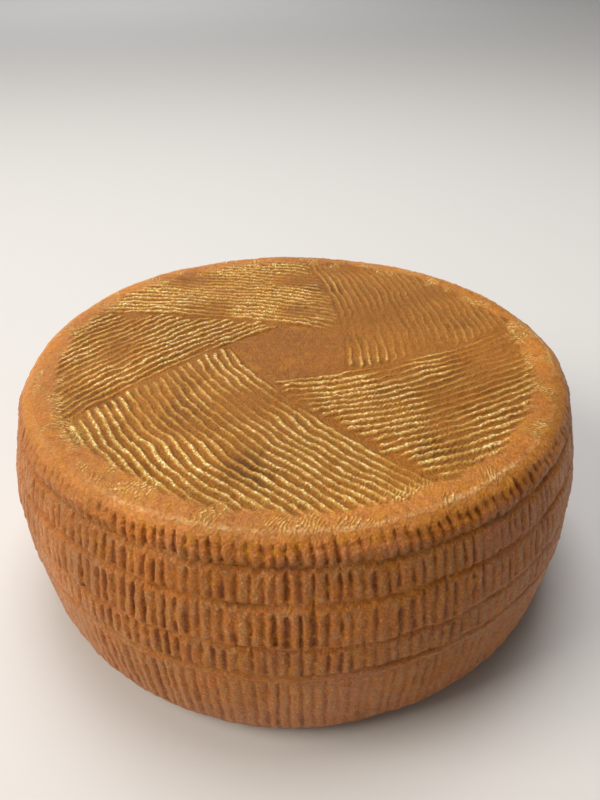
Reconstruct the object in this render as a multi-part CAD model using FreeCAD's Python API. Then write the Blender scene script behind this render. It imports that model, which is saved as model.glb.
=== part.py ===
"""Whole pecorino wheel, pressed in a ribbed basket mould.

One solid. The side is a bowed drum wall with rounded edges. The basket's hoops press creases round it,
and its staves leave upright ribs between them. The basket's floor leaves a pinwheel of patches on the
top, each a set of bent, parallel grooves. Millimetres, +Z up, origin at the centre of the base.
"""

import FreeCAD
import Part

import math
import os
import random
from collections import namedtuple

Vector = FreeCAD.Vector

# ---------------------------------------------------------------- driving sizes of the drum
WHEEL_RADIUS = 110.0      # at the belly, the widest level
WHEEL_HEIGHT = 89.0
BELLY_LEVEL = 40.0        # height of the belly above the base
FLANK_RADIUS = 140.0      # arc of the bowed side in a section through the axis
TOP_EDGE_WIDTH = 10.5     # rounded top edge: a quarter ellipse, measured inwards
TOP_EDGE_DROP = 7.6       # and downwards
BASE_EDGE_WIDTH = 12.4    # rounded base edge, measured inwards
BASE_EDGE_RISE = 13.8     # and upwards

# ---------------------------------------------------------------- hoops and staves of the basket
RIB_COUNT = 186
LIP_DROP = 3.6            # top of the first band of ribs, below the top face
LIP_BAND = 5.8            # heights of the bands, from the top down
UPPER_BAND = 11.3
MAIN_BAND = 15.9
LOWER_BAND = 12.5
SHELF_HEIGHT = 3.0        # smooth shelf between the lower band and the foot band
FOOT_LEVEL = 9.0          # where the foot band's ribs end above the base
CREASE_DEPTH = 1.5        # how far a hoop presses in

# ---------------------------------------------------------------- pinwheel on the top
PATCH_COUNT = 5
RIM_MARGIN = 2.6          # plain border between the grooves and the rounded edge
HUB_RADIUS = 20.0         # half width of the plain middle
GROOVE_PITCH = 3.9
GROOVE_WIDTH = 2.2
GROOVE_DEPTH = 1.1
GROOVE_BEND = 240.0       # radius at which the grooves bend round the middle
SHORTEST_GROOVE = 9.0
FRONT_PATCH_TURN = -59.0  # degrees, way that the front patch's grooves run

# ---------------------------------------------------------------- unevenness of a hand-turned cheese
OVAL = 0.7                # out of round, in radius
SAG = 0.45                # up and down wander of the creases
RIB_WANDER = 0.16         # sideways wander of a stave, as a share of the rib pitch
CREST_WANDER = 0.22       # change of a crest's height from rib to rib
PATCH_WANDER = 7.0        # degrees, turn of one patch against its place in the pinwheel

# A row is a closed ring of corners round the side. The strip above it is plain, or ribbed up to a crest.
Row = namedtuple("Row", "level inset wander crest_inset")
PLAIN = None


def drum_radius(level):
    """Radius of the smooth drum at a height: the bowed flank, rounded in at the two edges."""
    flank_level = min(max(level, BASE_EDGE_RISE), WHEEL_HEIGHT - TOP_EDGE_DROP)
    bow = FLANK_RADIUS - math.sqrt(FLANK_RADIUS ** 2 - (flank_level - BELLY_LEVEL) ** 2)
    radius = WHEEL_RADIUS - bow
    above = (level - (WHEEL_HEIGHT - TOP_EDGE_DROP)) / TOP_EDGE_DROP
    below = (BASE_EDGE_RISE - level) / BASE_EDGE_RISE
    if above > 0:
        radius -= TOP_EDGE_WIDTH * (1 - math.sqrt(max(0.0, 1 - above ** 2)))
    if below > 0:
        radius -= BASE_EDGE_WIDTH * (1 - math.sqrt(max(0.0, 1 - below ** 2)))
    return radius


def out_of_round(angle):
    """Small swell and flat of the drum, in millimetres of radius."""
    return OVAL * (0.6 * math.cos(2 * angle + 0.9) + 0.4 * math.cos(3 * angle - 0.5))


def sag(angle):
    """Wander of a crease up and down, in millimetres."""
    return SAG * (0.7 * math.sin(2 * angle - 1.1) + 0.5 * math.sin(5 * angle + 0.4))


def side_point(angle, row_level, inset, wander):
    """A point of the side, pressed in by inset, at an angle about the axis."""
    level = row_level + wander * sag(angle)
    radius = drum_radius(level) + out_of_round(angle) - inset
    return Vector(radius * math.cos(angle), radius * math.sin(angle), level)


def side_rows():
    """Rows from the base to the top face. Each crease lies one band above the last."""
    lip_top = WHEEL_HEIGHT - LIP_DROP
    lip_crease = lip_top - LIP_BAND
    upper_crease = lip_crease - UPPER_BAND
    main_crease = upper_crease - MAIN_BAND
    shelf_top = main_crease - LOWER_BAND
    shelf_foot = shelf_top - SHELF_HEIGHT
    return [
        Row(0.0, 0.0, 0, PLAIN),
        Row(0.3 * FOOT_LEVEL, 0.0, 0, PLAIN),
        Row(FOOT_LEVEL, 0.3 * CREASE_DEPTH, 0, 0.1 * CREASE_DEPTH),
        Row(shelf_foot, 0.75 * CREASE_DEPTH, 1, PLAIN),
        Row(shelf_top, 0.65 * CREASE_DEPTH, 1, 0.1 * CREASE_DEPTH),
        Row(main_crease, CREASE_DEPTH, 1, 0.0),
        Row(upper_crease, 0.9 * CREASE_DEPTH, 1, 0.05 * CREASE_DEPTH),
        Row(lip_crease, CREASE_DEPTH, 1, 0.1 * CREASE_DEPTH),
        Row(lip_top, 0.2 * CREASE_DEPTH, 0, PLAIN),
        Row(WHEEL_HEIGHT - 0.3 * LIP_DROP, 0.0, 0, PLAIN),
        Row(WHEEL_HEIGHT, 0.0, 0, PLAIN),
    ]


def stave_angles(rng):
    """Angles of the grooves between the staves, which wander a little from even spacing."""
    pitch = 2 * math.pi / RIB_COUNT
    return [pitch * (number + rng.uniform(-RIB_WANDER, RIB_WANDER)) for number in range(RIB_COUNT)]


def facet(*corners):
    """A flat face through its corners."""
    return Part.Face(Part.makePolygon([*corners, corners[0]]))


def quad(first, second, third, fourth):
    """Two facets that fill four corners, which need not lie in one plane."""
    return [facet(first, second, third), facet(first, third, fourth)]


def rib_facets(low_a, low_b, high_b, high_a, crest_low, crest_high):
    """One rib: two sides that rise from the grooves to the crest, with a slope at each end."""
    ends = [facet(low_a, low_b, crest_low), facet(high_b, high_a, crest_high)]
    return ends + quad(low_a, crest_low, crest_high, high_a) + quad(low_b, high_b, crest_high, crest_low)


def ribbed_strip(row, next_row, ring, next_ring, angles, rng):
    """The ribs between two rows, each with its own crest height."""
    end_slope = min(0.22 * (next_row.level - row.level), 1.6)
    faces = []
    for number, angle in enumerate(angles):
        after = (number + 1) % RIB_COUNT
        middle = angle + ((angles[after] - angle) % (2 * math.pi)) / 2
        inset = row.crest_inset + CREASE_DEPTH * CREST_WANDER * rng.random()
        crest_low = side_point(middle, row.level + end_slope, inset, row.wander)
        crest_high = side_point(middle, next_row.level - end_slope, inset, next_row.wander)
        faces += rib_facets(ring[number], ring[after], next_ring[after], next_ring[number], crest_low, crest_high)
    return faces


def side_faces(rng):
    """All faces of the side, with the rings that bound the base and the top."""
    rows = side_rows()
    angles = stave_angles(rng)
    rings = [[side_point(angle, row.level, row.inset, row.wander) for angle in angles] for row in rows]
    faces = []
    for row, next_row, ring, next_ring in zip(rows, rows[1:], rings, rings[1:]):
        if row.crest_inset is not PLAIN:
            faces += ribbed_strip(row, next_row, ring, next_ring, angles, rng)
            continue
        for number in range(RIB_COUNT):
            after = (number + 1) % RIB_COUNT
            faces += quad(ring[number], ring[after], next_ring[after], next_ring[number])
    return faces, rings[0], rings[-1]


def patch_turns(rng):
    """The way each patch's grooves run, in radians, an even share of a turn apart with some wander."""
    step = 360.0 / PATCH_COUNT
    wander = [rng.uniform(-PATCH_WANDER, PATCH_WANDER) for _ in range(PATCH_COUNT)]
    return [math.radians(FRONT_PATCH_TURN + step * number + wander[number]) for number in range(PATCH_COUNT)]


def patch_point(turn, along, reach):
    """A point of the top face: along a groove, and out from the middle to that groove."""
    offset = along ** 2 / (2 * GROOVE_BEND) - reach
    return Vector(
        along * math.cos(turn) - offset * math.sin(turn),
        along * math.sin(turn) + offset * math.cos(turn),
        WHEEL_HEIGHT,
    )


def patch_reach(turn, point):
    """How far out the groove through a point lies: the inverse of patch_point."""
    along = point.x * math.cos(turn) + point.y * math.sin(turn)
    offset = -point.x * math.sin(turn) + point.y * math.cos(turn)
    return along ** 2 / (2 * GROOVE_BEND) - offset


def pattern_radius():
    """Radius at which the grooves stop, inside the flat of the top."""
    return drum_radius(WHEEL_HEIGHT) - OVAL - RIM_MARGIN


def groove_span(turn, turn_before, reach):
    """Start and end of a groove: from the patch before it to the rim of the pattern."""
    step = 0.5
    limit = pattern_radius()
    inside = []
    for number in range(int(2 * limit / step)):
        along = number * step - limit
        point = patch_point(turn, along, reach)
        on_face = math.hypot(point.x, point.y) < limit
        clear = patch_reach(turn_before, point) < HUB_RADIUS
        if on_face and clear:
            inside.append(along)
    return (inside[0], inside[-1]) if inside else (0.0, 0.0)


def groove(turn, start, end, reach):
    """Outline of a groove on the top face, and the facets of its two flanks down to its floor line."""
    pieces = max(2, min(3, round((end - start) / 26)))
    stations = [start + (end - start) * number / pieces for number in range(pieces + 1)]
    stations[1:1] = [start + 0.5 * GROOVE_WIDTH]
    stations[-1:-1] = [end - 0.5 * GROOVE_WIDTH]
    tip, far_tip = patch_point(turn, start, reach), patch_point(turn, end, reach)
    near = [patch_point(turn, along, reach - GROOVE_WIDTH / 2) for along in stations[1:-1]]
    far = [patch_point(turn, along, reach + GROOVE_WIDTH / 2) for along in stations[1:-1]]
    floor = [patch_point(turn, along, reach) - Vector(0, 0, GROOVE_DEPTH) for along in stations[1:-1]]
    flanks = [facet(tip, near[0], floor[0]), facet(tip, floor[0], far[0])]
    flanks += [facet(far_tip, floor[-1], near[-1]), facet(far_tip, far[-1], floor[-1])]
    for number in range(len(floor) - 1):
        after = number + 1
        flanks += quad(near[number], near[after], floor[after], floor[number])
        flanks += quad(far[number], floor[number], floor[after], far[after])
    outline = [tip, *near, far_tip, *reversed(far), tip]
    return Part.makePolygon(outline), flanks


def top_faces(top_ring, rng):
    """The top face, cut through by the grooves of the pinwheel, and the grooves' flanks."""
    turns = patch_turns(rng)
    outlines, faces = [Part.makePolygon([*top_ring, top_ring[0]])], []
    for number, turn in enumerate(turns):
        reach = HUB_RADIUS + 0.5 * GROOVE_PITCH
        while reach < pattern_radius():
            start, end = groove_span(turn, turns[number - 1], reach)
            if end - start > SHORTEST_GROOVE:
                outline, flanks = groove(turn, start, end, reach)
                outlines.append(outline)
                faces += flanks
            reach += GROOVE_PITCH
    return faces + [Part.Face(outlines)]


def cheese_wheel():
    """The whole wheel as one solid, sewn from its side, top and base."""
    rng = random.Random(11)
    faces, base_ring, top_ring = side_faces(rng)
    faces += top_faces(top_ring, rng)
    faces.append(facet(*base_ring))
    skin = Part.makeCompound(faces)
    skin.sewShape()
    wheel = Part.Solid(skin.Shells[0])
    if wheel.Volume < 0:
        wheel.reverse()
    return wheel


os.makedirs("parts", exist_ok=True)
cheese_wheel().exportStep("parts/wheel.step")
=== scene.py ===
"""Looks of a whole pecorino wheel pressed in a ribbed basket mould.

The rind is four slabs that meet in the basket's creases and under the base: the cap with its pinwheel of
ridges, the wall with its upright ribs, the foot and the base. One relief, in millimetres, shapes them all.
"""

import logging
import math
from dataclasses import dataclass, field
from enum import Enum
from typing import Any, ClassVar

import bpy
import numpy as np
from mathutils import Matrix, Vector


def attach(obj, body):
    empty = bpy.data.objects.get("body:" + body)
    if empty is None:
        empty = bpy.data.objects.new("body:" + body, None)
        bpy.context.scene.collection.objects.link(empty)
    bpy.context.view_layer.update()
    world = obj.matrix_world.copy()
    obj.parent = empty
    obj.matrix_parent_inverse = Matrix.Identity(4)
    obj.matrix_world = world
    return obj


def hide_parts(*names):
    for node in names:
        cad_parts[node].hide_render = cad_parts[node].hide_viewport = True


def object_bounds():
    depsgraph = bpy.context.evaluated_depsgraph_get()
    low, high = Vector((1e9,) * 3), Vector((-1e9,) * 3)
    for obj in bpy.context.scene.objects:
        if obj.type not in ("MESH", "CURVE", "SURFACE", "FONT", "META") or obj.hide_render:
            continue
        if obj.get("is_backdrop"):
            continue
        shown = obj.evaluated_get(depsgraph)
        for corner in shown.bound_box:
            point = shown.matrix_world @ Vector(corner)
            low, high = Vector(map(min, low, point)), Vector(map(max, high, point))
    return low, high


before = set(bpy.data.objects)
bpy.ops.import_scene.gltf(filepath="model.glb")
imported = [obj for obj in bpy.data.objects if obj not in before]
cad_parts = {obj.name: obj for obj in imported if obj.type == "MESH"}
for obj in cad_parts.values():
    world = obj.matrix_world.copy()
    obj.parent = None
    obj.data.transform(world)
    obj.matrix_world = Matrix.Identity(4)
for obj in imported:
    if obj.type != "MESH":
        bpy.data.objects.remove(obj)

# Lengths are in millimetres until a mesh is made. The weld joins corners closer than this, and an open edge
# is found by being this near to its seam's level.
MM = 0.001
WELD = 0.01
EDGE_REACH = 4.0

Place = tuple[float, float, float]
# Where a range starts and ends.
Span = tuple[float, float]
# Most that the lumps add, their spacing in millimetres, and the number that chooses their pattern.
Lumps = tuple[float, float, int]
# Height of a wave, how often it goes into a full turn, and its phase.
Wave = tuple[float, int, float]

NODE = "wheel"
log = logging.getLogger("pecorino")


def plain_bounds() -> list[list[float]]:
    """Box of everything shown, as plain lists of numbers.

    Returns:
        The lowest and the highest corner, in metres.
    """
    return [[float(value) for value in corner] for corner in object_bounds()]


# ---------------- noise


def lattice_value(cells: np.ndarray, seed: int) -> np.ndarray:
    """Repeatable random value at each whole-number cell.

    Args:
        cells: Cell numbers, one row of three for each point.
        seed: Chooses the pattern.

    Returns:
        A value from -1 to 1 for each row.
    """
    key = cells @ np.array([73856093, 19349663, 83492791]) + seed * 40503
    key = (key ^ (key >> 13)) * 1274126177
    key = (key ^ (key >> 16)) & 0xFFFF
    return key / 32767.5 - 1.0


def grain(points: np.ndarray, size: float, seed: int) -> np.ndarray:
    """Smooth lumps of one size in space.

    Args:
        points: Places in millimetres, one row each.
        size: Spacing of the lumps in millimetres.
        seed: Chooses the pattern.

    Returns:
        A value from -1 to 1 for each point.
    """
    scaled = points / size
    cell = np.floor(scaled).astype(np.int64)
    part = scaled - cell
    part = part * part * (3.0 - 2.0 * part)
    total = np.zeros(len(points))
    for corner in range(8):
        step = np.array([corner & 1, corner >> 1 & 1, corner >> 2 & 1])
        weight = np.prod(np.where(step, part, 1.0 - part), axis=1)
        total += weight * lattice_value(cell + step, seed)
    return total


def uneven(points: np.ndarray, *sizes: Lumps, number: int = 0) -> np.ndarray:
    """Lumps of one or more sizes, added up.

    Args:
        points: Places in millimetres, one row each.
        sizes: Amount, spacing and pattern of each size of lump.
        number: Shifts the patterns, so that each patch or crease has its own.

    Returns:
        The sum for each point.
    """
    total = np.zeros(len(points))
    for amount, spacing, seed in sizes:
        total += amount * grain(points, spacing, seed + number)
    return total


def waves(turn: np.ndarray, *rounds: Wave) -> np.ndarray:
    """Waves that run round the wheel, added up.

    Args:
        turn: Angles about the axis.
        rounds: Height, number and phase of each wave.

    Returns:
        The sum for each angle.
    """
    total = np.zeros(len(turn))
    for height, number, phase in rounds:
        total += height * np.sin(number * turn + phase)
    return total


def ramp(low: float | np.ndarray, high: float | np.ndarray, value: np.ndarray) -> np.ndarray:
    """Smooth rise from 0 at low to 1 at high, or a fall where low is the larger.

    Args:
        low: Value where the result is 0.
        high: Value where the result is 1.
        value: Values to map.

    Returns:
        The eased share for each value.
    """
    share = np.clip((value - low) / (high - low), 0.0, 1.0)
    return share * share * (3.0 - 2.0 * share)


# ---------------- form


@dataclass
class Drum:
    """Smooth form of the wheel: a bowed wall rounded in to a flat top and base. Millimetres."""

    radius: float
    height: float
    belly_level: float = 40.0
    flank_radius: float = 140.0
    top_edge: tuple[float, float] = (10.5, 7.6)
    base_edge: tuple[float, float] = (12.4, 13.8)

    def radius_at(self, level: np.ndarray) -> np.ndarray:
        """Radius of the smooth drum.

        Args:
            level: Heights above the base.

        Returns:
            The radius at each height.
        """
        width, drop = self.top_edge
        inset, rise = self.base_edge
        flank = np.clip(level, rise, self.height - drop)
        bow = self.flank_radius - np.sqrt(self.flank_radius**2 - (flank - self.belly_level) ** 2)
        above = np.clip((level - (self.height - drop)) / drop, 0.0, 1.0)
        below = np.clip((rise - level) / rise, 0.0, 1.0)
        rounded = width * (1.0 - np.sqrt(1.0 - above**2)) + inset * (1.0 - np.sqrt(1.0 - below**2))
        return self.radius - bow - rounded

    def outline(self, samples: int = 4000) -> tuple[np.ndarray, np.ndarray]:
        """Section of the drum from the middle of the top, over the side, to the middle of the base.

        Args:
            samples: Points on the curved side. The rounded edges get them closer together.

        Returns:
            Radii and levels along the section.
        """
        turn = np.linspace(0.0, math.pi, samples)
        level = self.height * (1.0 + np.cos(turn)) / 2.0
        side = self.radius_at(level)
        return np.concatenate([[0.0], side, [0.0]]), np.concatenate([[self.height], level, [0.0]])


@dataclass
class Section:
    """The drum's outline measured along its own length, from the middle of the top."""

    drum: Drum
    step: float = 0.6
    radius: np.ndarray = field(init=False)
    level: np.ndarray = field(init=False)
    run: np.ndarray = field(init=False)

    def __post_init__(self) -> None:
        """Measures the outline."""
        self.radius, self.level = self.drum.outline()
        steps = np.hypot(np.diff(self.radius), np.diff(self.level))
        self.run = np.concatenate([[0.0], np.cumsum(steps)])

    def run_at(self, level: float) -> float:
        """Length along the outline down to a level of the side."""
        return float(np.interp(-level, -self.level[1:-1], self.run[1:-1]))

    def place(self, run: np.ndarray) -> tuple[np.ndarray, np.ndarray]:
        """Radius and level at lengths along the outline."""
        return np.interp(run, self.run, self.radius), np.interp(run, self.run, self.level)

    def outward(self, run: np.ndarray) -> tuple[np.ndarray, np.ndarray]:
        """Way out of the skin, as its parts along the radius and upwards."""
        before = self.place(np.maximum(run - self.step, 0.0))
        after = self.place(np.minimum(run + self.step, self.run[-1]))
        across, down = after[0] - before[0], before[1] - after[1]
        length = np.hypot(across, down)
        return down / length, across / length


class Mark(Enum):
    """Numbers that each corner of a mesh carries for the finish."""

    CREST = "crest"
    PATTERN = "pattern"
    RIM_LINE = "rim_line"
    STAIN = "stain"


@dataclass
class Points:
    """Places on the smooth drum that the relief is worked out for."""

    turn: np.ndarray
    run: np.ndarray
    radius: np.ndarray
    level: np.ndarray
    space: np.ndarray

    @property
    def flat(self) -> np.ndarray:
        """The places brought to one level, so that a pattern doesn't change down a groove."""
        return self.space * np.array([1.0, 1.0, 0.0])


@dataclass
class Relief:
    """What the basket leaves at each place."""

    height: np.ndarray
    crest: np.ndarray
    pattern: np.ndarray
    stain: np.ndarray

    def replaced(self, chosen: np.ndarray, other: "Relief") -> "Relief":
        """This relief with another in the chosen places."""
        pairs = zip(vars(other).values(), vars(self).values())
        return Relief(*(np.where(chosen, new, old) for new, old in pairs))


# ---------------- relief


@dataclass(frozen=True)
class Band:
    """A ring of ribs between two creases. Levels and lengths in millimetres.

    Depth, ragged and marked are its grooves': how deep, how uneven at their ends, and how strong in the
    finish. Proud, tilt and lift say how far the band stands out, how much more so at its foot, and how much
    of the ribs' uneven rise it keeps. Its head fades out over fade_above and fade_below. Its grooves round
    off a gap away from its head and foot. Width is theirs at the head, and flare what they gain by the foot.
    """

    foot: float
    head: float
    depth: float
    ragged: float
    proud: float = 0.0
    tilt: float = 0.4
    lift: float = 1.0
    marked: float = 1.0
    fade_above: float = 0.9
    fade_below: float = 0.9
    head_gap: float = 2.7
    head_rounding: float = 1.8
    foot_gap: float = 1.7
    foot_rounding: float = 1.2
    width: float = 0.95
    flare: float = 0.0
    width_lumps: Lumps = (0.35, 5.0, 34)


@dataclass
class Imprint:
    """Where each place lies in the basket: its level, its position in ribs, and how firm the print is."""

    level: np.ndarray
    count: np.ndarray
    firmness: np.ndarray


@dataclass
class Staves:
    """Upright ribs of the wall and the creases of the basket's hoops. Millimetres."""

    drum: Drum
    rib_count: int = 186
    lip_drop: float = 3.6
    band_heights: tuple[float, ...] = (5.8, 11.3, 15.9, 12.5)
    shelf_height: float = 3.0
    foot_level: float = 6.0
    seed: int = 5

    rib_wander: float = 0.17
    rib_waver: tuple[Lumps, ...] = ((0.10, 6.0, 21), (0.07, 2.2, 22))
    rib_rise: Span = (-0.22, 0.12)
    groove_half_width: Span = (0.32, 0.50)
    groove_share: Span = (0.55, 1.0)
    narrowest: float = 0.02
    lip_twist: float = 0.06
    twist_gap: float = 3.0
    foot_fade: float = 0.9
    edge_drop: float = 0.45
    edge_reach: float = 2.4

    sag: float = 0.55
    sag_waves: tuple[Wave, ...] = ((0.7, 2, -1.1), (0.5, 5, 0.4))
    sag_lumps: tuple[Lumps, ...] = ((0.8, 9.0, 31), (0.45, 3.5, 32))
    scallop: float = 0.5
    scallop_fade: Span = (-1.0, 3.0)

    firmness: float = 0.78
    firm_lumps: Lumps = (0.42, 24.0, 33)
    firm_stretch: Place = (1.0, 1.0, 0.4)
    depth_lumps: Lumps = (0.4, 4.0, 35)
    worn_turns: tuple[float, float] = (math.radians(200.0), math.radians(345.0))
    worn_reach: Span = (0.7, 1.0)
    worn_share: float = 0.5
    shade_gain: float = 1.3
    shade_limits: Span = (0.3, 1.2)

    crease_depth: float = 0.72
    crease_width: float = 1.2
    crease_firmness: float = 0.75
    crease_limits: Span = (0.15, 1.3)
    # Painted shade in the creases: crease_shade turns them to the groove's colour, and a dark share is added
    # that is partly oil.
    crease_lumps: Lumps = (0.6, 13.0, 50)
    crease_shade: float = 0.42
    crease_oil_and_shade: float = 0.6
    oil_lumps: Lumps = (1.0, 15.0, 55)
    oil_limits: Span = (0.1, 0.7)
    lip_shade: float = 0.4
    lip_fade: float = 2.0

    nick_turn: float = math.radians(232.8)
    nick_level: float = 54.0
    nick_depth: float = 1.3
    nick_stain: float = 1.6
    nick_flatness: float = 0.4

    def bands(self) -> list[Band]:
        """Bands from the lip at the top down to the foot."""
        levels = [self.drum.height - self.lip_drop]
        for height in self.band_heights:
            levels.append(levels[-1] - height)
        lip, second, main, fourth, shelf = levels
        foot_head = shelf - self.shelf_height
        lip_form = {
            "tilt": 0.0,
            "lift": 0.3,
            "fade_above": 2.8,
            "fade_below": 0.5,
            "head_gap": 0.7,
            "head_rounding": 2.2,
            "foot_gap": 1.5,
            "foot_rounding": 1.0,
            "width": 0.75,
            "flare": 0.35,
            "width_lumps": (0.0, 5.0, 34),
        }
        return [
            Band(second, lip, depth=1.2, ragged=0.9, **lip_form),
            Band(main, second, depth=1.0, ragged=1.6, proud=0.1),
            Band(fourth, main, depth=1.15, ragged=2.2, proud=0.45),
            Band(shelf, fourth, depth=0.95, ragged=1.6),
            Band(self.foot_level, foot_head, depth=0.65, ragged=1.6, proud=-0.45, marked=0.55),
        ]

    def creases(self) -> list[float]:
        """Levels of the creases between the bands, from the top down."""
        return [band.foot for band in self.bands()[:-1]]

    def stave_places(self, turn: np.ndarray, space: np.ndarray) -> np.ndarray:
        """Position round the wall counted in ribs, whole at the grooves.

        Args:
            turn: Angles about the axis, from 0 to a full turn.
            space: Places in millimetres, for the grooves' waver.

        Returns:
            The count at each place.
        """
        rng = np.random.default_rng(self.seed)
        wander = rng.uniform(-self.rib_wander, self.rib_wander, self.rib_count)
        numbers = np.arange(-1, self.rib_count + 2)
        grooves = numbers + np.take(wander, numbers, mode="wrap")
        count = turn * self.rib_count / (2.0 * math.pi) + uneven(space, *self.rib_waver)
        return np.interp(count, grooves, numbers.astype(float))

    def nearest_groove(self, count: np.ndarray) -> np.ndarray:
        """Number of the groove nearest to each place."""
        return np.round(count).astype(int) % self.rib_count

    def cut(self, count: np.ndarray, widen: np.ndarray, seed: int) -> np.ndarray:
        """How far into a groove each place lies: 0 on a crest, up to 1 on a deep groove's floor.

        Args:
            count: Position round the wall counted in ribs.
            widen: Factor on the grooves' width.
            seed: Chooses each groove's width and depth.

        Returns:
            The share at each place.
        """
        rng = np.random.default_rng(seed)
        half = rng.uniform(*self.groove_half_width, self.rib_count)
        deep = rng.uniform(*self.groove_share, self.rib_count)
        groove = self.nearest_groove(count)
        away = np.abs(count - np.round(count)) / np.maximum(half[groove] * widen, self.narrowest)
        return deep[groove] * (1.0 - ramp(0.0, 1.0, away))

    def imprint(self, at: Points) -> Imprint:
        """Finds each place in the basket, which sags, wavers and is scalloped at the shelf.

        Args:
            at: Places on the drum.

        Returns:
            Level, position and firmness at each place.
        """
        lip_crease, *_, shelf_crease = self.creases()
        count = self.stave_places(at.turn, at.space)
        count = count + self.lip_twist * np.maximum(at.level - lip_crease - self.twist_gap, 0.0)
        level = at.level - self.sag * waves(at.turn, *self.sag_waves) + uneven(at.space, *self.sag_lumps)
        hump = 1.0 - (2.0 * (count - np.floor(count)) - 1.0) ** 2
        level = level + self.scallop * hump * ramp(*self.scallop_fade, level - shelf_crease)
        firmness = self.firmness + uneven(at.space * np.array(self.firm_stretch), self.firm_lumps)
        for turn in self.worn_turns:
            firmness *= 1.0 - self.worn_share * ramp(*self.worn_reach, np.cos(at.turn - turn))
        return Imprint(level, count, firmness)

    def band_relief(
        self, number: int, band: Band, at: Points, imprint: Imprint
    ) -> tuple[np.ndarray, np.ndarray]:
        """Ribs and round-ended grooves of one band.

        Args:
            number: The band's number from the top.
            band: The band.
            at: Places on the drum.
            imprint: Where they lie in the basket.

        Returns:
            Height that the band adds, and how far its grooves lower the crest share.
        """
        level, count = imprint.level, imprint.count
        rng = np.random.default_rng(self.seed + 10 + number)
        groove = self.nearest_groove(count)
        head = band.head - band.head_gap - band.ragged * rng.random(self.rib_count)[groove]
        foot = band.foot + band.foot_gap + 0.5 * band.ragged * rng.random(self.rib_count)[groove]
        rib = np.floor(count).astype(int) % self.rib_count
        rise = band.lift * rng.uniform(*self.rib_rise, self.rib_count)[rib]

        inside = ramp(band.foot - self.foot_fade, band.foot + self.foot_fade, level)
        inside *= ramp(band.head + band.fade_above, band.head - band.fade_below, level)
        sunk = np.clip((band.head - level) / (band.head - band.foot), 0.0, 1.0)
        into = np.maximum((level - head) / band.head_rounding, (foot - level) / band.foot_rounding)
        widen = np.sqrt(1.0 - np.clip(into, 0.0, 1.0) ** 2)
        widen *= band.width + band.flare * sunk + uneven(at.space, band.width_lumps)
        cut = self.cut(count, widen, self.seed + 30 + number)

        share = imprint.firmness + uneven(at.space, self.depth_lumps)
        from_edge = np.minimum(band.head - level, level - band.foot)
        shoulders = self.edge_drop * ramp(self.edge_reach, 0.0, from_edge)
        slope = band.proud + band.tilt * (sunk - 0.5)
        height = inside * (slope + rise - band.depth * share * cut - shoulders)
        shade = np.clip(self.shade_gain * share, *self.shade_limits)
        return height, inside * cut * shade * band.marked

    def relief(self, at: Points) -> Relief:
        """Ribs, grooves, creases and the one nick of the side.

        Args:
            at: Places on the drum.

        Returns:
            Height against the smooth drum, crest share, a pattern share of 0, and dark stain share, which in
            the creases is partly painted shade.
        """
        imprint = self.imprint(at)
        level = imprint.level
        height = np.zeros(len(level))
        crest = np.ones(len(level))
        stain = np.zeros(len(level))
        for number, band in enumerate(self.bands()):
            rise, shade = self.band_relief(number, band, at, imprint)
            height += rise
            crest -= shade
        for number, crease in enumerate(self.creases()):
            press = np.exp(-(((level - crease) / self.crease_width) ** 2))
            firmness = self.crease_firmness + uneven(at.space, self.crease_lumps, number=number)
            firmness = np.clip(firmness, *self.crease_limits)
            height -= self.crease_depth * firmness * press
            # Painted shade in the crease, with the groove's colour and a dark share that is partly oil.
            crest -= self.crease_shade * press * firmness
            oil = ramp(*self.oil_limits, uneven(at.space, self.oil_lumps, number=number))
            stain += self.crease_oil_and_shade * press * oil
        aside = (at.turn - self.nick_turn) * self.drum.radius
        hole = np.exp(-(aside**2) - self.nick_flatness * (at.level - self.nick_level) ** 2)
        height -= self.nick_depth * hole
        stain += self.nick_stain * hole
        lip = self.drum.height - self.lip_drop
        crest -= self.lip_shade * ramp(lip - self.lip_fade, lip, level)
        return Relief(height, np.clip(crest, 0.0, 1.0), np.zeros(len(level)), stain)


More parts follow.
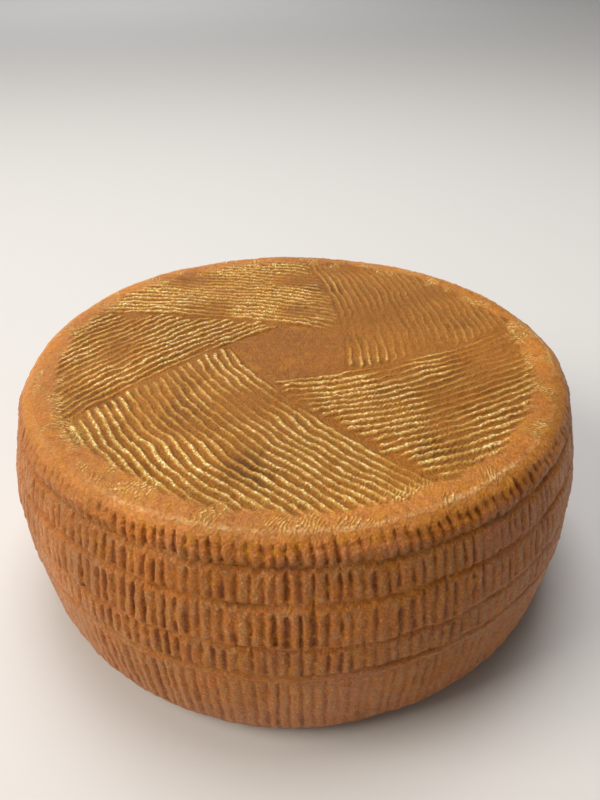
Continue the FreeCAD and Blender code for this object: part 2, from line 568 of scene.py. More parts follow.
@dataclass
class Pinwheel:
    """Patches of bent, parallel ridges that the basket's floor leaves on a flat face. Millimetres."""

    rim: float
    patch_turns: tuple[float, ...] = (-59.0, 13.0, 88.0, 160.0, 214.0)
    hub: float = 20.0
    pitch: float = 3.35
    bend: float = 240.0
    depth: float = 1.1
    softness: float = 1.0
    seed: int = 90

    rim_fade: Span = (1.5, -3.0)
    rim_lumps: tuple[Lumps, ...] = ((2.0, 8.0, 60), (1.2, 3.0, 61))
    seam_lumps: Lumps = (1.3, 7.0, 62)
    border_crest: float = 0.5
    middle_share: float = 0.4
    middle_crest: float = 0.25
    middle_pattern: float = 0.6

    ridge_numbers: int = 64
    ridge_half_width: Span = (0.24, 0.34)
    ridge_top: float = 0.08
    ridge_end: Span = (-0.8, 2.4)
    ridge_rise: Span = (-0.15, 0.15)
    end_fade: Span = (-0.3, 2.0)
    hub_fade: Span = (0.0, 2.0)
    waver_lumps: tuple[Lumps, ...] = ((0.32, 14.0, 70), (0.16, 5.0, 80))
    width_lumps: tuple[Lumps, ...] = ((0.06, 5.0, 96), (0.06, 1.8, 99))
    edge_lumps: Lumps = (0.06, 1.6, 95)
    knob_lumps: tuple[Lumps, ...] = ((0.32, 1.9, 110), (0.3, 1.0, 111))
    depth_share: float = 0.85
    depth_lumps: Lumps = (0.35, 11.0, 104)
    floor_share: float = 0.75
    floor_lumps: Lumps = (0.12, 2.6, 112)
    firmness: float = 0.95
    firm_lumps: Lumps = (0.7, 17.0, 98)
    firm_limits: Span = (0.25, 1.0)

    worn_share: float = 0.55
    worn_across: Span = (-5.0, 30.0)
    worn_ahead: Span = (-25.0, 20.0)
    stains: tuple[Place, ...] = (
        (45.0, -63.0, 14.0),
        (-69.0, -31.0, 11.0),
        (-14.0, -70.0, 11.0),
        (8.0, 62.0, 15.0),
    )
    stain_lumps: Lumps = (4.0, 7.0, 115)
    stain_share: float = 0.8
    stain_middle: float = 0.2
    oil_lumps: Lumps = (1.0, 10.0, 113)
    oil_limits: Span = (0.3, 0.8)
    oil_share: float = 0.5
    groove_floor: Span = (0.5, 0.1)

    def reach(self, patch: int, at: Points) -> np.ndarray:
        """How far out from the middle the ridge through each place lies, in one patch."""
        way = math.radians(self.patch_turns[patch])
        across, ahead = at.space[:, 0], at.space[:, 1]
        along = across * math.cos(way) + ahead * math.sin(way)
        offset = -across * math.sin(way) + ahead * math.cos(way)
        return along**2 / (2.0 * self.bend) - offset

    def stained(self, at: Points) -> np.ndarray:
        """How dark the grooves are in the few places where old oil has gathered."""
        share = np.zeros(len(at.run))
        for across, ahead, reach in self.stains:
            distance = np.hypot(at.space[:, 0] - across, at.space[:, 1] - ahead)
            distance += uneven(at.space, self.stain_lumps)
            dark = self.stain_share * ramp(reach, self.stain_middle * reach, distance)
            share = np.maximum(share, dark)
        return share

    def patch_relief(self, patch: int, at: Points, beyond: np.ndarray, inside: np.ndarray) -> Relief:
        """Ridges and grooves of one patch, as if it covered the whole face.

        Args:
            patch: The patch's number.
            at: Places on the drum.
            beyond: How far beyond the hub the ridge through each place lies.
            inside: How far each place lies inside the seam with the patch before.

        Returns:
            Height against the flat face, crest share, a pattern share of 1, and dark stain share.
        """
        rng = np.random.default_rng(self.seed + patch)
        waver = uneven(at.flat, *self.waver_lumps, number=patch)
        count = beyond / self.pitch + waver + 0.5
        line = np.round(count).astype(int) % self.ridge_numbers
        away = np.abs(count - np.round(count)) + uneven(at.space, self.edge_lumps)
        half = rng.uniform(*self.ridge_half_width, self.ridge_numbers)[line]
        ridge = ramp(half + uneven(at.flat, *self.width_lumps), self.ridge_top, away)

        end = rng.uniform(*self.ridge_end, self.ridge_numbers)[line]
        here = ramp(*self.end_fade, inside - end) * ramp(*self.hub_fade, beyond)
        firmness = self.firmness + uneven(at.flat, self.firm_lumps, number=patch)
        worn = ramp(*self.worn_ahead, at.space[:, 1]) * ramp(*self.worn_across, at.space[:, 0])
        here *= np.clip(firmness, *self.firm_limits) * (1.0 - self.worn_share * worn)
        rise = rng.uniform(*self.ridge_rise, self.ridge_numbers)[line]
        deep = self.depth * (self.depth_share + uneven(at.flat, self.depth_lumps, number=patch) + rise)
        knobs = ridge * uneven(at.space, *self.knob_lumps)
        floor = uneven(at.flat, self.floor_lumps) - self.floor_share * deep

        oil = self.oil_share * ramp(*self.oil_limits, uneven(at.flat, self.oil_lumps, number=patch))
        dark = (self.stained(at) + oil) * ramp(*self.groove_floor, ridge)
        height = floor + here * (deep * ridge + knobs)
        return Relief(height, here * ridge, np.ones(len(at.run)), dark)

    def relief(self, at: Points) -> Relief:
        """All the patches round their plain middle, inside an uneven rim.

        Args:
            at: Places on the drum.

        Returns:
            Height against the flat face, crest share, pattern share and dark stain share.
        """
        size = len(at.run)
        middle = (-self.middle_share * self.depth, self.middle_crest, self.middle_pattern, 0.0)
        face = Relief(*(np.full(size, value) for value in middle))
        taken = np.zeros(size, dtype=bool)
        seam = uneven(at.flat, self.seam_lumps)
        for patch in range(len(self.patch_turns)):
            beyond = self.reach(patch, at) - self.hub
            inside = self.hub - (self.reach(patch - 1, at) + seam)
            mine = (beyond > 0.0) & (inside >= 0.0) & ~taken
            taken |= mine
            face = face.replaced(mine, self.patch_relief(patch, at, beyond, inside))
        in_face = ramp(*self.rim_fade, at.radius - self.rim + uneven(at.flat, *self.rim_lumps))
        return Relief(
            self.softness * face.height * in_face,
            face.crest * in_face + self.border_crest * (1.0 - in_face),
            face.pattern * in_face,
            face.stain * in_face,
        )


@dataclass
class Shoulder:
    """Border from the pinwheel to the rounded edge, with slanted wrinkles and a pale line. Millimetres."""

    drum: Drum
    inner_edge: Span = (83.0, 89.0)
    outer_edge: Span = (100.5, 96.0)
    wrinkle_count: int = 420
    wrinkle_height: float = 0.3
    lean: float = 2.6
    lean_radius: float = 90.0
    warp_lumps: tuple[Lumps, ...] = ((1.44, 8.0, 120), (0.9, 2.6, 121))
    patch_lumps: Lumps = (1.0, 11.0, 122)
    patch_limits: Span = (-0.5, 0.4)
    # Shine: patches where highlights are painted on the wrinkles' crests.
    shine_lumps: Lumps = (1.0, 5.0, 123)
    shine_limits: Span = (-0.2, 0.4)
    shine_wave: Span = (0.0, 0.9)
    broken_share: float = 0.55
    broken_lumps: Lumps = (1.1, 3.2, 124)
    broken_limits: Span = (0.0, 1.3)
    line_radius: float = 97.8
    line_width: float = 0.6
    line_height: float = 0.4
    line_wander: Lumps = (0.7, 18.0, 130)
    line_share: float = 0.45
    line_lumps: tuple[Lumps, ...] = ((0.8, 28.0, 131), (0.4, 5.0, 132))
    top_reach: float = 4.0

    def on_top(self, at: Points) -> np.ndarray:
        """1 on the upper face and 0 on the base."""
        return ramp(self.drum.height / 2, self.drum.height - self.top_reach, at.level)

    def wrinkles(self, at: Points) -> tuple[np.ndarray, np.ndarray]:
        """Fine slanted wrinkles.

        Args:
            at: Places on the drum.

        Returns:
            Height of the wrinkles, and where glints are painted on their crests.
        """
        border = ramp(*self.inner_edge, at.radius) * ramp(*self.outer_edge, at.radius) * self.on_top(at)
        warp = 2.0 * math.pi * uneven(at.space, *self.warp_lumps)
        wave = np.sin(at.turn * self.wrinkle_count + self.lean * (at.radius - self.lean_radius) + warp)
        patchy = ramp(*self.patch_limits, uneven(at.space, self.patch_lumps))
        broken = np.clip(self.broken_share + uneven(at.space, self.broken_lumps), *self.broken_limits)
        glint_patches = ramp(*self.shine_limits, uneven(at.space, self.shine_lumps))
        shine = border * ramp(*self.shine_wave, wave) * glint_patches
        return self.wrinkle_height * border * patchy * broken * wave, shine

    def line(self, at: Points) -> np.ndarray:
        """Share of the low raised line where the border turns over the edge."""
        place = at.radius - self.line_radius + uneven(at.space, self.line_wander)
        strength = np.clip(self.line_share + uneven(at.space, *self.line_lumps), 0.0, 1.0)
        return self.on_top(at) * strength * np.exp(-((place / self.line_width) ** 2))


@dataclass
class Rind:
    """The whole skin: drum, staves, a pinwheel on each face, shoulder, lumps and grit."""

    drum: Drum
    oval: float = 0.7
    oval_waves: tuple[Wave, ...] = ((0.6, 2, 2.4708), (0.4, 3, 1.0708))
    lumps: tuple[Lumps, ...] = ((0.45, 34.0, 140), (0.22, 12.0, 141))
    grit: tuple[Lumps, ...] = ((0.17, 2.8, 142), (0.13, 1.4, 143))
    base_grit: float = 0.3
    base_clear: Span = (0.0, 4.0)
    oval_reach: Span = (40.0, 100.0)
    top_inset: float = 2.6
    base_inset: float = 5.0
    top_blend: Span = (-2.0, -0.5)
    base_blend: Span = (1.5, 0.3)
    stain_share: float = 0.6
    section: Section = field(init=False)
    staves: Staves = field(init=False)
    shoulder: Shoulder = field(init=False)
    top: Pinwheel = field(init=False)
    base: Pinwheel = field(init=False)

    def __post_init__(self) -> None:
        """Makes the parts of the relief from the drum's own sizes."""
        self.section = Section(self.drum)
        self.staves = Staves(self.drum)
        self.shoulder = Shoulder(self.drum)
        flat_radius = float(self.drum.radius_at(np.array([self.drum.height]))[0])
        self.top = Pinwheel(rim=flat_radius - self.top_inset)
        base_turns = (20.0, 92.0, 164.0, 236.0, 308.0)
        self.base = Pinwheel(rim=flat_radius - self.base_inset, patch_turns=base_turns, softness=0.55)

    def swell(self, at: Points) -> np.ndarray:
        """Unevenness of a hand-turned cheese: out of round, with low lumps and pits."""
        out_of_round = self.oval * waves(at.turn, *self.oval_waves) * ramp(*self.oval_reach, at.radius)
        clear = ramp(*self.base_clear, at.level)
        grit = self.base_grit + (1.0 - self.base_grit) * clear
        return out_of_round + clear * uneven(at.space, *self.lumps) + grit * uneven(at.space, *self.grit)

    def shape(self, turn: np.ndarray, run: np.ndarray) -> tuple[np.ndarray, dict[Mark, np.ndarray]]:
        """Skin with its relief.

        Args:
            turn: Angles about the axis.
            run: Lengths along the outline from the middle of the top.

        Returns:
            Places in metres, one row each, and their marks.
        """
        radius, level = self.section.place(run)
        around = np.mod(turn, 2.0 * math.pi)
        space = np.column_stack([radius * np.cos(around), radius * np.sin(around), level])
        at = Points(around, run, radius, level, space)
        side = self.staves.relief(at)
        top = self.top.relief(at)
        base = self.base.relief(at)
        upper = ramp(*self.top_blend, at.level - self.drum.height)
        lower = ramp(*self.base_blend, at.level)
        line = self.shoulder.line(at)
        wrinkle, shine = self.shoulder.wrinkles(at)

        height = side.height + upper * top.height + lower * base.height
        height += wrinkle + self.shoulder.line_height * line + self.swell(at)
        crest = side.crest + upper * (top.crest - side.crest) + lower * (base.crest - side.crest)
        # The side's dark share holds painted shade in the creases as well as oil.
        stain = upper * top.stain + lower * base.stain + side.stain
        marks = {
            # Shine lifts the crest and pattern shares, which paints glints as highlights on the shoulder's
            # wrinkles.
            Mark.CREST: np.maximum(crest, shine),
            Mark.PATTERN: np.maximum(upper * top.pattern + lower * base.pattern, shine),
            Mark.RIM_LINE: line,
            Mark.STAIN: np.minimum(self.stain_share * stain, 1.0),
        }
        out, up = self.section.outward(run)
        radius = at.radius + out * height
        level = np.maximum(at.level + up * height, 0.0)
        places = np.column_stack([radius * np.cos(turn), radius * np.sin(turn), level])
        return places * MM, marks


# ---------------- slabs


def deselect_all() -> None:
    """Leaves nothing selected, so that an operator acts on new work alone."""
    if bpy.context.object and bpy.context.object.mode != "OBJECT":
        bpy.ops.object.mode_set(mode="OBJECT")
    bpy.ops.object.select_all(action="DESELECT")


def read_places(mesh: bpy.types.Mesh) -> np.ndarray:
    """Reads a mesh's corners, one row each."""
    flat = np.empty(len(mesh.vertices) * 3)
    mesh.vertices.foreach_get("co", flat)
    return flat.reshape(-1, 3)


def add_grid(name: str, columns: int, rows: int, size: float) -> bpy.types.Object:
    """Adds a flat grid that is then bent into a slab.

    Args:
        name: Name of the piece and of its mesh.
        columns: Cells across.
        rows: Cells ahead.
        size: Length of its side.

    Returns:
        The grid, alone selected.
    """
    deselect_all()
    bpy.ops.mesh.primitive_grid_add(x_subdivisions=columns, y_subdivisions=rows, size=size)
    piece = bpy.context.object
    piece.name = name
    piece.data.name = name
    return piece


def dress_skin(piece: bpy.types.Object, places: np.ndarray, marks: dict[Mark, np.ndarray]) -> None:
    """Moves a grid's corners on to the skin and stores what the finish reads.

    Args:
        piece: The grid.
        places: New places in metres.
        marks: Numbers to store at each corner.
    """
    piece.data.vertices.foreach_set("co", places.ravel())
    for mark, values in marks.items():
        layer = piece.data.attributes.new(mark.value, "FLOAT", "POINT")
        layer.data.foreach_set("value", values.astype(np.float32))
    piece.data.update()


def close_loop(piece: bpy.types.Object, level: float, tip: float) -> None:
    """Closes an open edge of a slab with a shallow cone inside the wheel.

    The edge is extruded in place and its copy merged to the tip, which is then moved. The merge and the move
    run in corner mode, because a lone corner can't stay selected in edge mode.

    Args:
        piece: The slab, with its skin in place.
        level: Height in metres of the open edge.
        tip: Height in metres of the cone's tip.
    """
    deselect_all()
    bpy.context.view_layer.objects.active = piece
    piece.select_set(True)
    bpy.ops.object.mode_set(mode="EDIT")
    bpy.ops.mesh.select_mode(type="EDGE")
    bpy.ops.mesh.select_all(action="DESELECT")
    bpy.ops.mesh.select_non_manifold(
        extend=False, use_wire=False, use_multi_face=False, use_non_contiguous=False
    )
    bpy.ops.object.mode_set(mode="OBJECT")
    near = np.abs(read_places(piece.data)[:, 2] - level) < EDGE_REACH * MM
    for edge in piece.data.edges:
        edge.select = edge.select and bool(near[edge.vertices[0]])
    bpy.ops.object.mode_set(mode="EDIT")
    bpy.ops.mesh.mark_sharp()
    bpy.ops.mesh.extrude_edges_move(TRANSFORM_OT_translate={"value": (0.0, 0.0, 0.0)})
    bpy.ops.mesh.select_mode(type="VERT")
    bpy.ops.mesh.merge(type="CENTER")
    bpy.ops.transform.translate(value=(0.0, 0.0, tip - level))
    bpy.ops.object.mode_set(mode="OBJECT")


def finish_slab(piece: bpy.types.Object) -> None:
    """Turns the faces outwards and shades them smooth."""
    bpy.ops.object.mode_set(mode="EDIT")
    bpy.ops.mesh.select_all(action="SELECT")
    bpy.ops.mesh.normals_make_consistent(inside=False)
    bpy.ops.object.mode_set(mode="OBJECT")
    bpy.ops.object.shade_smooth()


def round_off(square: np.ndarray) -> tuple[np.ndarray, np.ndarray]:
    """Where each corner of a square grid lands when the square is rounded to a disc of even cells.

    Args:
        square: Corners of a square that reaches from -1 to 1.

    Returns:
        Each corner's distance from the middle, from 0 to 1, and its angle.
    """
    tiny, eighth = 1e-9, math.pi / 4
    across, ahead = square[:, :2].T
    safe_across, safe_ahead = np.where(np.abs(square[:, :2]) < tiny, tiny, square[:, :2]).T
    wide = np.abs(across) > np.abs(ahead)
    distance = np.where(wide, across, ahead)
    turn = np.where(wide, eighth * ahead / safe_across, 2 * eighth - eighth * across / safe_ahead)
    return np.abs(distance), np.where(distance < 0, turn + math.pi, turn)


@dataclass
class Disc:
    """A face of the wheel and the rounded skin round it, as one slab. Lengths run along the outline."""

    name: str
    rind: Rind
    middle_run: float
    seam_run: float
    tip: float
    cells: int

    def build(self) -> bpy.types.Object:
        """Makes the slab from the middle of the face to its seam."""
        piece = add_grid(self.name, self.cells, self.cells, 2.0)
        distance, turn = round_off(read_places(piece.data))
        run = self.middle_run + distance * (self.seam_run - self.middle_run)
        dress_skin(piece, *self.rind.shape(turn, run))
        seam_level = float(self.rind.section.place(np.array([self.seam_run]))[1][0])
        close_loop(piece, seam_level * MM, self.tip * MM)
        finish_slab(piece)
        return piece


@dataclass
class Ring:
    """A stretch of the side all round, as one slab. Lengths run along the outline."""

    name: str
    rind: Rind
    head_run: float
    foot_run: float
    tips: tuple[float, float]
    rows: int
    columns_per_rib: int = 8

    def build(self) -> bpy.types.Object:
        """Makes the slab between its two seams."""
        columns = self.columns_per_rib * self.rind.staves.rib_count
        piece = add_grid(self.name, columns, self.rows, 1.0)
        flat = read_places(piece.data) + 0.5
        run = self.foot_run + flat[:, 1] * (self.head_run - self.foot_run)
        dress_skin(piece, *self.rind.shape(flat[:, 0] * 2.0 * math.pi, run))
        bpy.ops.object.mode_set(mode="EDIT")
        bpy.ops.mesh.select_all(action="SELECT")
        bpy.ops.mesh.remove_doubles(threshold=WELD * MM)
        bpy.ops.object.mode_set(mode="OBJECT")
        levels = self.rind.section.place(np.array([self.head_run, self.foot_run]))[1]
        for level, tip in zip(levels, self.tips):
            close_loop(piece, float(level) * MM, tip * MM)
        finish_slab(piece)
        return piece


@dataclass
class Wheel:
    """The wheel as four slabs, each ending in a crease or at the base's rim. Millimetres.

    Inside the wheel, a slab's closing cones reach past its seams by the overlap. Where the foot meets the
    base, they end at levels of their own, clear of the base's skin.
    """

    rind: Rind
    overlap: float = 6.0
    foot_tip: float = 24.0
    base_tip: float = 12.0
    base_margin: float = 1.0
    cap_cells: int = 304
    wall_rows: int = 58
    foot_rows: int = 56
    base_cells: int = 220

    def slabs(self) -> list[Disc | Ring]:
        """The slabs from the top down, not yet built."""
        rind, section = self.rind, self.rind.section
        lip_level, *_, shelf_level = rind.staves.creases()
        lip, shelf = section.run_at(lip_level), section.run_at(shelf_level)
        end = float(section.run[-1])
        base_rim = end - float(rind.drum.radius_at(np.array([0.0]))[0]) + self.base_margin
        wall_tips = (lip_level - self.overlap, shelf_level + self.overlap)
        foot_tips = (shelf_level - self.overlap, self.foot_tip)
        return [
            Disc("rind_cap", rind, 0.0, lip, lip_level + self.overlap, self.cap_cells),
            Ring("rind_wall", rind, lip, shelf, wall_tips, self.wall_rows),
            Ring("rind_foot", rind, shelf, base_rim, foot_tips, self.foot_rows),
            Disc("rind_base", rind, end, base_rim, self.base_tip, self.base_cells),
        ]

    def build(self, finish: bpy.types.Material) -> None:
        """Makes each slab, gives it its finish, and puts it in the place of the plain wheel.

        Args:
            finish: The rind's material.
        """
        for slab in self.slabs():
            piece = slab.build()
            piece.data.materials.append(finish)
            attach(piece, "root")
            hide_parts(NODE)
            log.info("%s: %d faces", piece.name, len(piece.data.polygons))


# ---------------- finishes


def linear(code: str) -> tuple[float, float, float, float]:
    """Turns an sRGB hex colour to linear light.

    Args:
        code: Colour such as "#c08040".

    Returns:
        Linear red, green and blue, and full alpha.
    """
    parts = [int(code[place : place + 2], 16) / 255 for place in (1, 3, 5)]
    light = [part / 12.92 if part <= 0.04045 else ((part + 0.055) / 1.055) ** 2.4 for part in parts]
    return light[0], light[1], light[2], 1.0


def add_node(
    tree: bpy.types.NodeTree, kind: str, settings: dict[str, Any], links: dict[Any, Any]
) -> bpy.types.Node:
    """Adds a node with its settings, and sets or links its inputs.

    Args:
        tree: Node tree to add to.
        kind: Blender's name of the node.
        settings: Properties of the node.
        links: Input names or numbers, each with a value or with the socket that feeds it.

    Returns:
        The node.
    """
    node = tree.nodes.new(kind)
    for name, value in settings.items():
        setattr(node, name, value)
    for name, value in links.items():
        if isinstance(value, bpy.types.NodeSocket):
            tree.links.new(value, node.inputs[name])
        else:
            node.inputs[name].default_value = value
    return node


@dataclass(frozen=True)
class OiledRind:
    """Natural sheep's cheese rind, pressed in a basket and rubbed with oil and annatto.

    To the eye it is waxy and a little see-through: deep orange where oil stays in the folds, dusty tan on
    the dry ribs, and gold on the gritty ridges of the face. The small bright glints on those ridges and on
    the shoulder's wrinkles are painted highlights, the pale specks on the side's ribs are partly dust and
    partly painted glints, the top border is partly lightened as painted light from above, and the dark in
    the creases is partly painted shade.
    """

    groove: str = "#8a4607"
    skin: str = "#b4691f"
    rosy: str = "#b06b3c"
    # Top border: the rind's own orange, made lighter as painted light where the top is lit more.
    amber_and_painted_top_light: str = "#d28a3c"
    dust: str = "#a97c4c"
    ochre: str = "#c07c1e"
    # Pale specks on the ribs: partly dust, partly painted glints of light.
    pale_fleck_and_glint: str = "#d9a566"
    face_groove: str = "#a4671f"
    face_crest: str = "#d0a04c"
    # Pale line at the rim, and the glints painted as highlights on the ridge tops and wrinkles.
    cream_and_painted_glint: str = "#fde6ac"
    # Dark of the stains and oil, and of the painted shade in the side's creases.
    dark_stain_and_shade: str = "#4c2f0c"

    ragged_share: float = 0.6
    index: float = 1.4
    specular: float = 0.36
    bump_strength: float = 0.9
    bump_height: float = 0.6
    depth_of_light: float = 3.5
    share_of_light: float = 0.5
    colours_of_light: Place = (1.0, 0.42, 0.12)

    # Lump size in millimetres, octaves and roughness of each noise. Grit and specks are about 0.8 mm.
    LUMPS: ClassVar[dict[str, Place]] = {
        "ragged": (1.8, 4.0, 0.6),
        "rosy": (30.0, 2.0, 0.55),
        "dusty": (9.0, 4.0, 0.6),
        "ochre": (5.0, 5.0, 0.65),
        "pale_fleck_and_glint": (1.0, 4.0, 0.6),
        "grit": (0.8, 3.0, 0.6),
        "gap": (1.1, 3.0, 0.55),
        "cloud": (34.0, 3.0, 0.55),
        "speck": (0.8, 3.0, 0.6),
        "wax": (1.2, 3.0, 0.55),
        "pebble": (2.4, 3.0, 0.5),
    }
    # Source, the part of it that is spread out, and what its ends become.
    SPANS: ClassVar[dict[str, tuple[str, float, float, float, float]]] = {
        "low": ("level", 26.0 * MM, 13.0 * MM, 0.0, 1.0),
        "rosy place": ("rosy", 0.5, 0.68, 0.0, 1.0),
        "high": ("level", 83.0 * MM, 88.0 * MM, 0.0, 1.0),
        "in groove": ("rib", 1.1, 0.4, 0.0, 1.0),
        "dry rib": ("rib", 1.05, 1.4, 0.0, 0.7),
        "dry place": ("dusty", 0.36, 0.60, 0.0, 1.0),
        "fold": ("crest", 0.95, 0.35, 0.08, 0.9),
        "ochre place": ("ochre", 0.5, 0.62, 0.0, 1.0),
        "fleck rib": ("rib", 0.8, 1.3, 0.05, 0.5),
        "fleck place": ("pale_fleck_and_glint", 0.54, 0.68, 0.0, 1.0),
        "on ridge": ("rib", 0.45, 1.15, 0.0, 1.0),
        "ridge top": ("rib", 0.85, 1.3, 0.0, 1.0),
        "glint": ("grit", 0.48, 0.57, 0.0, 1.0),
        "line place": ("gap", 0.4, 0.62, 0.1, 0.6),
        "shade": ("cloud", 0.3, 0.7, 0.88, 1.1),
        "mottle": ("speck", 0.35, 0.65, 0.84, 1.16),
        "gloss": ("wax", 0.35, 0.65, 0.28, 0.5),
        "firm": ("pattern", 0.0, 1.0, 0.9, 2.4),
    }
    # What is multiplied to make each share.
    PRODUCTS: ClassVar[dict[str, tuple[str, str]]] = {
        "dust": ("dry rib", "dry place"),
        "oil": ("fold", "ochre place"),
        "pale_flecks_and_glints": ("fleck rib", "fleck place"),
        "glints": ("ridge top", "glint"),
        "rim": ("rim_line", "line place"),
        "bite": ("firm", "grit"),
    }

    def shares(self, tree: bpy.types.NodeTree) -> dict[str, bpy.types.NodeSocket]:
        """Adds the marks, the noises, their eased spans and what is multiplied from them.

        Args:
            tree: The material's node tree.

        Returns:
            Each share's socket, by name.
        """
        where = add_node(tree, "ShaderNodeTexCoord", {}, {}).outputs["Object"]
        share = {"level": add_node(tree, "ShaderNodeSeparateXYZ", {}, {0: where}).outputs["Z"]}
        for mark in Mark:
            stored = add_node(tree, "ShaderNodeAttribute", {"attribute_name": mark.value}, {})
            share[mark.value] = stored.outputs["Fac"]
        for name, (size, octaves, rough) in self.LUMPS.items():
            inputs = {"Vector": where, "Scale": 1.0 / (size * MM), "Detail": octaves, "Roughness": rough}
            share[name] = add_node(tree, "ShaderNodeTexNoise", {}, inputs).outputs["Fac"]
        inputs = {0: share["ragged"], 1: self.ragged_share, 2: share["crest"]}
        share["rib"] = add_node(tree, "ShaderNodeMath", {"operation": "MULTIPLY_ADD"}, inputs).outputs[0]
        for name, (source, low, high, start, end) in self.SPANS.items():
            inputs = {"Value": share[source], "From Min": low, "From Max": high}
            inputs |= {"To Min": start, "To Max": end}
            eased = add_node(tree, "ShaderNodeMapRange", {"interpolation_type": "SMOOTHSTEP"}, inputs)
            share[name] = eased.outputs[0]
        for name, (first, second) in self.PRODUCTS.items():
            inputs = {0: share[first], 1: share[second]}
            share[name] = add_node(tree, "ShaderNodeMath", {"operation": "MULTIPLY"}, inputs).outputs[0]
        return share

    def colour(
        self, tree: bpy.types.NodeTree, share: dict[str, bpy.types.NodeSocket]
    ) -> bpy.types.NodeSocket:
        """Lays the colours of the side and of the face over their grounds, then darkens and lightens them.

        Args:
            tree: The material's node tree.
            share: Each share's socket, by name.

        Returns:
            The colour's socket.
        """
        side = (
            ("low", self.rosy),
            ("rosy place", self.rosy),
            # High: the top border, partly its own orange and partly painted light from above.
            ("high", self.amber_and_painted_top_light),
            ("in groove", self.groove),
            ("dust", self.dust),
            ("oil", self.ochre),
            # Specks on the ribs: partly pale dust, partly painted glints.
            ("pale_flecks_and_glints", self.pale_fleck_and_glint),
        )
        # Glints: highlights painted pale on the face's ridge tops.
        face = (("on ridge", self.face_crest), ("glints", self.cream_and_painted_glint))
        # Stain: dark stains and oil, and painted shade in the side's creases.
        both = (("rim", self.cream_and_painted_glint), ("stain", self.dark_stain_and_shade))
        mix = {"data_type": "RGBA"}
        coats = []
        for ground, layers in ((self.skin, side), (self.face_groove, face)):
            coat = linear(ground)
            for name, code in layers:
                inputs = {0: share[name], 6: coat, 7: linear(code)}
                coat = add_node(tree, "ShaderNodeMix", mix, inputs).outputs[2]
            coats.append(coat)
        inputs = {0: share["pattern"], 6: coats[0], 7: coats[1]}
        colour = add_node(tree, "ShaderNodeMix", mix, inputs).outputs[2]
        for name, code in both:
            inputs = {0: share[name], 6: colour, 7: linear(code)}
            colour = add_node(tree, "ShaderNodeMix", mix, inputs).outputs[2]
        for name in ("shade", "mottle"):
            inputs = {0: 1.0, 6: colour, 7: share[name]}
            colour = add_node(tree, "ShaderNodeMix", mix | {"blend_type": "MULTIPLY"}, inputs).outputs[2]
        return colour

    def material(self) -> bpy.types.Material:
        """Builds the finish.

        Returns:
            The material.
        """
        material = bpy.data.materials.new("oiled_cheese_rind")
        material.use_nodes = True
        tree = material.node_tree
        tree.nodes.clear()
        share = self.shares(tree)
        inputs = {0: share["bite"], 1: share["pebble"]}
        rough = add_node(tree, "ShaderNodeMath", {"operation": "ADD"}, inputs).outputs[0]
        inputs = {"Strength": self.bump_strength, "Distance": self.bump_height * MM, "Height": rough}
        bump = add_node(tree, "ShaderNodeBump", {}, inputs)
        inputs = {
            "Base Color": self.colour(tree, share),
            "Roughness": share["gloss"],
            "Normal": bump.outputs["Normal"],
            "IOR": self.index,
            "Specular IOR Level": self.specular,
            "Subsurface Weight": self.share_of_light,
            "Subsurface Scale": self.depth_of_light * MM,
            "Subsurface Radius": self.colours_of_light,
        }
        shader = add_node(tree, "ShaderNodeBsdfPrincipled", {}, inputs)
        add_node(tree, "ShaderNodeOutputMaterial", {}, {"Surface": shader.outputs["BSDF"]})
        return material


@dataclass(frozen=True)
class PaleSheet:
    """Matt white paper, pressed smooth: a soft pale ground with no shine."""

    colour: str = "#d8d4ce"
    roughness: float = 0.85

    def material(self) -> bpy.types.Material:
        """Builds the finish.

        Returns:
            The material.
        """
        material = bpy.data.materials.new("matt_paper_sweep")
        material.use_nodes = True
        shader = material.node_tree.nodes["Principled BSDF"]
        shader.inputs["Base Color"].default_value = linear(self.colour)
        shader.inputs["Roughness"].default_value = self.roughness
        return material


# ---------------- studio


@dataclass(frozen=True)
class Softbox:
    """Square area light with its place and size in metres, its power in watts, its tint and its aim."""

    name: str
    place: Place
    size: float
    power: float
    tint: str
    aim: Place = (0.0, 0.0, 0.045)

    def add(self) -> None:
        """Hangs the light and turns it to its aim."""
        lamp = bpy.data.lights.new(self.name, "AREA")
        lamp.shape = "SQUARE"
        lamp.size = self.size
        lamp.energy = self.power
        lamp.color = linear(self.tint)[:3]
        holder = bpy.data.objects.new(self.name, lamp)
        bpy.context.scene.collection.objects.link(holder)
        turned = (Vector(self.aim) - Vector(self.place)).to_track_quat("-Z", "Y").to_matrix().to_4x4()
        holder.matrix_world = Matrix.Translation(self.place) @ turned


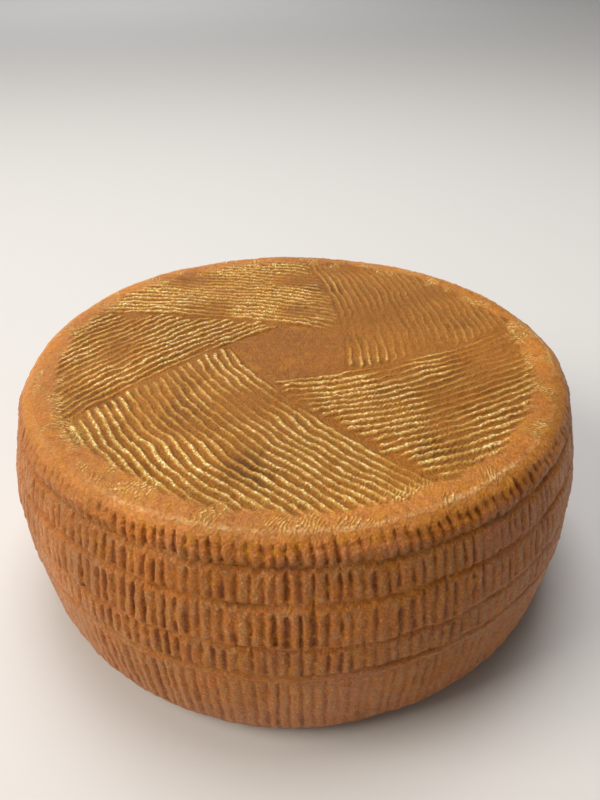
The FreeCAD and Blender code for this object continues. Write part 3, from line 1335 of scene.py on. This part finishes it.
@dataclass
class Studio:
    """Floor, soft light and camera round a wheel of some radius and height. Metres and degrees.

    The camera's place is given in wheel radii, from the axis and from the top of the wheel.
    """

    radius: float
    height: float
    floor_size: float = 24.0
    floor_gap: float = 0.3 * MM
    lights: tuple[Softbox, ...] = (
        Softbox("key", (-1.55, -0.42, 1.28), 1.1, 31.0, "#fffaf2"),
        Softbox("overhead", (0.0, 0.25, 1.45), 0.7, 13.0, "#f7f9ff"),
        Softbox("wash", (-1.0, 3.4, 1.7), 2.8, 33.0, "#f0f6ff", (-0.8, 3.2, 0.0)),
    )
    room_left: str = "#f4f4f2"
    room_right: str = "#7f7c79"
    room_span: Span = (-0.8, 0.7)
    room_strength: float = 0.42
    lens: float = 30.6
    clip_start: float = 0.01
    camera_place: Place = (0.0194, -2.1055, 1.1962)
    look_down: float = 33.79
    roll: float = -0.616

    def floor(self) -> None:
        """Wide pale floor, a hair below the base so that the two never share a plane."""
        deselect_all()
        bpy.ops.mesh.primitive_plane_add(size=self.floor_size, location=(0.0, 0.0, -self.floor_gap))
        sheet = bpy.context.object
        sheet.name = "floor"
        sheet.data.materials.append(PaleSheet().material())
        sheet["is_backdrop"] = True

    def room(self) -> None:
        """Pale room, brighter on the left than on the right."""
        world = bpy.data.worlds.new("studio")
        world.use_nodes = True
        tree = world.node_tree
        way = add_node(tree, "ShaderNodeTexCoord", {}, {}).outputs["Generated"]
        across = add_node(tree, "ShaderNodeSeparateXYZ", {}, {0: way}).outputs["X"]
        span = {"Value": across, "From Min": self.room_span[0], "From Max": self.room_span[1]}
        share = add_node(tree, "ShaderNodeMapRange", {"interpolation_type": "SMOOTHSTEP"}, span).outputs[0]
        colours = {0: share, 6: linear(self.room_left), 7: linear(self.room_right)}
        colour = add_node(tree, "ShaderNodeMix", {"data_type": "RGBA"}, colours).outputs[2]
        tree.links.new(colour, tree.nodes["Background"].inputs["Color"])
        tree.nodes["Background"].inputs["Strength"].default_value = self.room_strength
        bpy.context.scene.world = world

    def camera(self) -> None:
        """Camera close in front, looking down on the top and the front of the side."""
        eye = bpy.data.cameras.new("camera")
        eye.lens = self.lens
        eye.clip_start = self.clip_start
        holder = bpy.data.objects.new("camera", eye)
        bpy.context.scene.collection.objects.link(holder)
        place = Vector(self.camera_place) * self.radius + Vector((0.0, 0.0, self.height))
        down, roll = math.radians(90.0 - self.look_down), math.radians(self.roll)
        turned = Matrix.Rotation(down, 4, "X") @ Matrix.Rotation(roll, 4, "Z")
        holder.matrix_world = Matrix.Translation(place) @ turned
        bpy.context.scene.camera = holder

    def build(self) -> None:
        """Sets up the floor, the lights, the room and the camera."""
        self.floor()
        for light in self.lights:
            light.add()
        self.room()
        self.camera()
        bpy.context.scene.view_settings.view_transform = "Standard"


def main() -> None:
    """Builds the wheel and its studio from the plain wheel's sizes."""
    logging.basicConfig(level=logging.INFO)
    solid_box = plain_bounds()
    radius = (solid_box[1][0] - solid_box[0][0]) / 2.0
    height = solid_box[1][2] - solid_box[0][2]
    wheel = Wheel(Rind(Drum(radius / MM, height / MM)))
    wheel.build(OiledRind().material())
    Studio(radius, height).build()
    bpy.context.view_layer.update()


if __name__ == "__main__":
    main()
